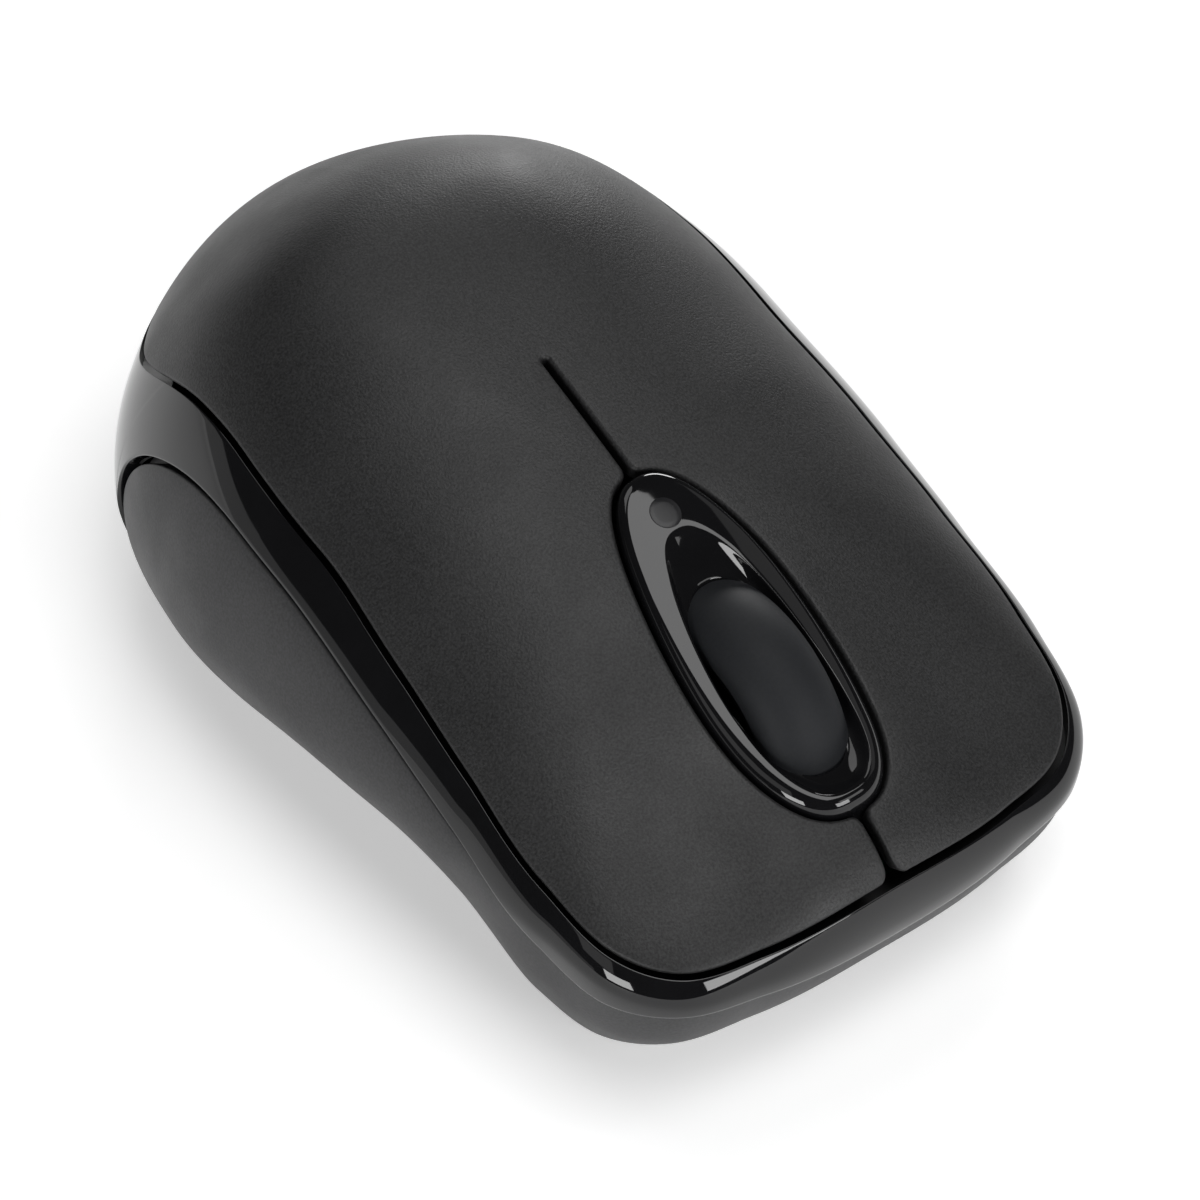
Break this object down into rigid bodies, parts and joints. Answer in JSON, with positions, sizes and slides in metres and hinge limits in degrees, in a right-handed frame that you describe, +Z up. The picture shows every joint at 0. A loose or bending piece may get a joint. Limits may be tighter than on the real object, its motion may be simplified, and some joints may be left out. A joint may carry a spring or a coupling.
{
  "type": "computer mouse",
  "caption": "Compact wireless computer mouse with flexing buttons, a rubber scroll wheel, a gloss trim band and undercut side walls.",
  "frame": {"origin": "on the surface the mouse stands on, at the middle of its bounding box", "axes": "+Y towards the buttons at the front, +X to the user's right, +Z up"},
  "size_m": [0.0614, 0.0952, 0.0406],
  "materials": {
    "matte_black": "matt, fine moulded leather grain",
    "gloss_black": "high gloss, as moulded",
    "case_grey": "matt, fine spark-eroded grain",
    "tyre_rubber": "smooth soft-touch rubber",
    "smoked_window": "polished smoked plastic",
    "foot_grey": "smooth low-friction pad",
    "inner_black": "plain moulded",
    "board_green": "solder mask",
    "bright_steel": "plated",
    "clear_plastic": "clear optical plastic",
    "white_plastic": "moulded acetal",
    "sleeve_blue": "shrunk sleeve without lettering"
  },
  "bodies": {
    "case": {"top_shell": "matte_black", "wheel_bezel": "gloss_black", "indicator_lens": "smoked_window", "trim_band": "gloss_black", "base_shell": "case_grey", "front_foot": "foot_grey", "rear_left_foot": "foot_grey", "rear_right_foot": "foot_grey", "carrier_spring": "bright_steel", "circuit_board": "board_green", "left_switch_body": "inner_black", "right_switch_body": "inner_black", "left_case_screw": "bright_steel", "right_case_screw": "bright_steel", "left_board_screw": "bright_steel", "right_board_screw": "bright_steel", "wheel_switch_body": "inner_black", "sensor_chip": "inner_black", "sensor_lens": "clear_plastic", "sensor_led": "clear_plastic", "controller_chip": "inner_black", "crystal": "bright_steel", "capacitor": "sleeve_blue", "indicator_led": "white_plastic", "battery_cell": "sleeve_blue", "battery_spring": "bright_steel", "battery_contact": "bright_steel", "power_switch_body": "inner_black"},
    "left_button": {"left_button": "matte_black"},
    "right_button": {"right_button": "matte_black"},
    "left_plunger": {"left_switch_plunger": "white_plastic"},
    "right_plunger": {"right_switch_plunger": "white_plastic"},
    "carrier": {"wheel_carrier": "inner_black", "encoder_body": "inner_black"},
    "wheel": {"wheel_hub": "inner_black", "wheel_tyre": "tyre_rubber"},
    "wheel_plunger": {"wheel_switch_plunger": "white_plastic"},
    "power_slider": {"power_switch_slider": "inner_black"},
    "battery_door": {"battery_door": "case_grey"},
    "receiver": {"receiver_cap": "inner_black", "receiver_plug": "bright_steel", "receiver_tongue": "white_plastic"}
  },
  "joints": [
    {"name": "left_click", "type": "hinge", "parent": "case", "child": "left_button", "pos_m": [0, -0.00505, 0.0368], "axis": [-1, 0, 0], "range_deg": [0, 0.8], "stiffness_Nm_per_rad": 1, "springref_deg": -0.57},
    {"name": "right_click", "type": "hinge", "parent": "case", "child": "right_button", "pos_m": [0, -0.00505, 0.0368], "axis": [-1, 0, 0], "range_deg": [0, 0.8], "stiffness_Nm_per_rad": 1, "springref_deg": -0.57},
    {"name": "left_plunger_travel", "type": "slide", "parent": "case", "child": "left_plunger", "axis": [0, 0, -1], "range_m": [0, 0.0006]},
    {"name": "right_plunger_travel", "type": "slide", "parent": "case", "child": "right_plunger", "axis": [0, 0, -1], "range_m": [0, 0.0006]},
    {"name": "wheel_click", "type": "slide", "parent": "case", "child": "carrier", "axis": [0, 0, -1], "range_m": [0, 0.0005], "stiffness_N_per_m": 1000, "springref_m": -0.0005, "deforming": ["carrier_spring"]},
    {"name": "wheel_spin", "type": "hinge", "parent": "carrier", "child": "wheel", "pos_m": [0, 0.0249, 0.0183], "axis": [1, 0, 0], "continuous": true},
    {"name": "wheel_plunger_travel", "type": "slide", "parent": "case", "child": "wheel_plunger", "axis": [0, 0, -1], "range_m": [0, 0.0005]},
    {"name": "power_switch_travel", "type": "slide", "parent": "case", "child": "power_slider", "axis": [0, 1, 0], "range_m": [0, 0.0025]},
    {"name": "battery_door_swing", "type": "hinge", "parent": "case", "child": "battery_door", "pos_m": [0, 0.003, 0.001], "axis": [1, 0, 0], "range_deg": [0, 75]},
    {"name": "receiver_pull", "type": "slide", "parent": "case", "child": "receiver", "axis": [0, 0, -1], "range_m": [0, 0.02]}
  ],
  "couplings": [
    {"joint": "left_plunger_travel", "follows": "left_click", "m_per_rad": 0.038},
    {"joint": "right_plunger_travel", "follows": "right_click", "m_per_rad": 0.038},
    {"joint": "wheel_plunger_travel", "follows": "wheel_click", "ratio": 1}
  ]
}
